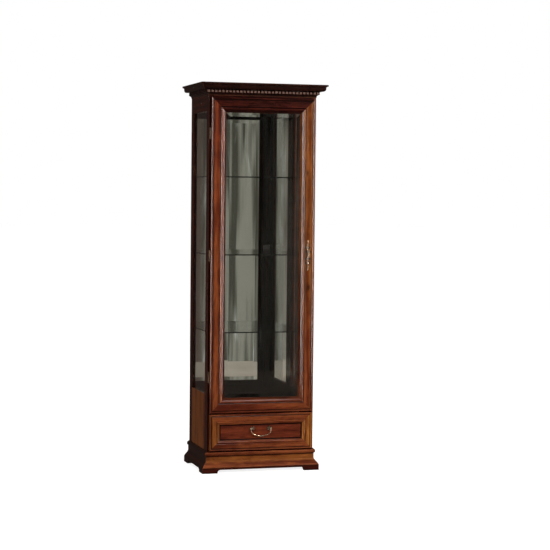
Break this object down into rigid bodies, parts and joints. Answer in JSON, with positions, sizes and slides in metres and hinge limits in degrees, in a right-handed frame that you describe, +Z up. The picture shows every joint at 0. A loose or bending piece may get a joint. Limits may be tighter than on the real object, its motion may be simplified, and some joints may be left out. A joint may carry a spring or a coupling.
{
  "type": "display case",
  "caption": "Tall classical wooden display case with a glazed lockable door, glass sides and shelves, a mirror back, and a drawer over a footed plinth.",
  "frame": {"origin": "on the floor, under the centre of the bounding box", "axes": "+Z up, -Y out of the door, +X to the right of someone facing the door"},
  "size_m": [0.687, 0.4626, 2.05],
  "materials": {
    "case_wood": "red-brown walnut-stained wood with a satin lacquer",
    "dark_wood": "near-black brown stained wood, satin",
    "drawer_wood": "pale unstained wood, matt",
    "glass": "clear polished glass, slightly green at its edges",
    "mirror": "silvered mirror",
    "aged_brass": "aged brass with bright high spots",
    "steel": "plain steel"
  },
  "bodies": {
    "case": {"back_board": "dark_wood", "bay_board": "case_wood", "cornice_front": "dark_wood", "cornice_left": "dark_wood", "cornice_right": "dark_wood", "floor_board": "case_wood", "frieze_rail": "case_wood", "hinge_1_carcass_half": "aged_brass", "hinge_2_carcass_half": "aged_brass", "hinge_3_carcass_half": "aged_brass", "left_back_stile": "case_wood", "left_front_stile": "case_wood", "left_lower_panel": "case_wood", "left_pane": "glass", "left_top_rail": "case_wood", "mirror": "mirror", "plinth_front": "case_wood", "plinth_left": "case_wood", "plinth_right": "case_wood", "right_back_stile": "case_wood", "right_front_stile": "case_wood", "right_lower_panel": "case_wood", "right_pane": "glass", "right_top_rail": "case_wood", "shelf_1": "glass", "shelf_2": "glass", "shelf_3": "glass", "shelf_pin_1_left_back": "aged_brass", "shelf_pin_1_left_front": "aged_brass", "shelf_pin_1_right_back": "aged_brass", "shelf_pin_1_right_front": "aged_brass", "shelf_pin_2_left_back": "aged_brass", "shelf_pin_2_left_front": "aged_brass", "shelf_pin_2_right_back": "aged_brass", "shelf_pin_2_right_front": "aged_brass", "shelf_pin_3_left_back": "aged_brass", "shelf_pin_3_left_front": "aged_brass", "shelf_pin_3_right_back": "aged_brass", "shelf_pin_3_right_front": "aged_brass", "top_board": "case_wood"},
    "door": {"door_bottom_rail": "case_wood", "door_glass": "glass", "door_left_stile": "case_wood", "door_right_stile": "case_wood", "door_top_rail": "case_wood", "escutcheon": "aged_brass", "hinge_1_door_half": "aged_brass", "hinge_2_door_half": "aged_brass", "hinge_3_door_half": "aged_brass", "lock_case": "steel"},
    "key": {"key": "aged_brass"},
    "lock_bolt": {"lock_bolt": "steel"},
    "drawer": {"drawer_back": "drawer_wood", "drawer_floor": "drawer_wood", "drawer_front": "case_wood", "drawer_left_side": "drawer_wood", "drawer_right_side": "drawer_wood", "pull_rosette_left": "aged_brass", "pull_rosette_right": "aged_brass"},
    "bail": {"pull_bail": "aged_brass"}
  },
  "joints": [
    {"name": "door_hinge", "type": "hinge", "parent": "case", "child": "door", "pos_m": [-0.2862, -0.18395, 1.1455], "axis": [0, 0, -1], "range_deg": [0, 110]},
    {"name": "key_turn", "type": "hinge", "parent": "door", "child": "key", "pos_m": [0.248, -0.17875, 1.15], "axis": [0, -1, 0], "range_deg": [0, 90]},
    {"name": "bolt_slide", "type": "slide", "parent": "door", "child": "lock_bolt", "axis": [1, 0, 0], "range_m": [0, 0.008]},
    {"name": "drawer_slide", "type": "slide", "parent": "case", "child": "drawer", "axis": [0, -1, 0], "range_m": [0, 0.28]},
    {"name": "bail_swing", "type": "hinge", "parent": "drawer", "child": "bail", "pos_m": [0, -0.20175, 0.23], "axis": [-1, 0, 0], "range_deg": [0, 95]}
  ],
  "couplings": [
    {"joint": "bolt_slide", "follows": "key_turn", "m_per_rad": 0.0050924}
  ]
}
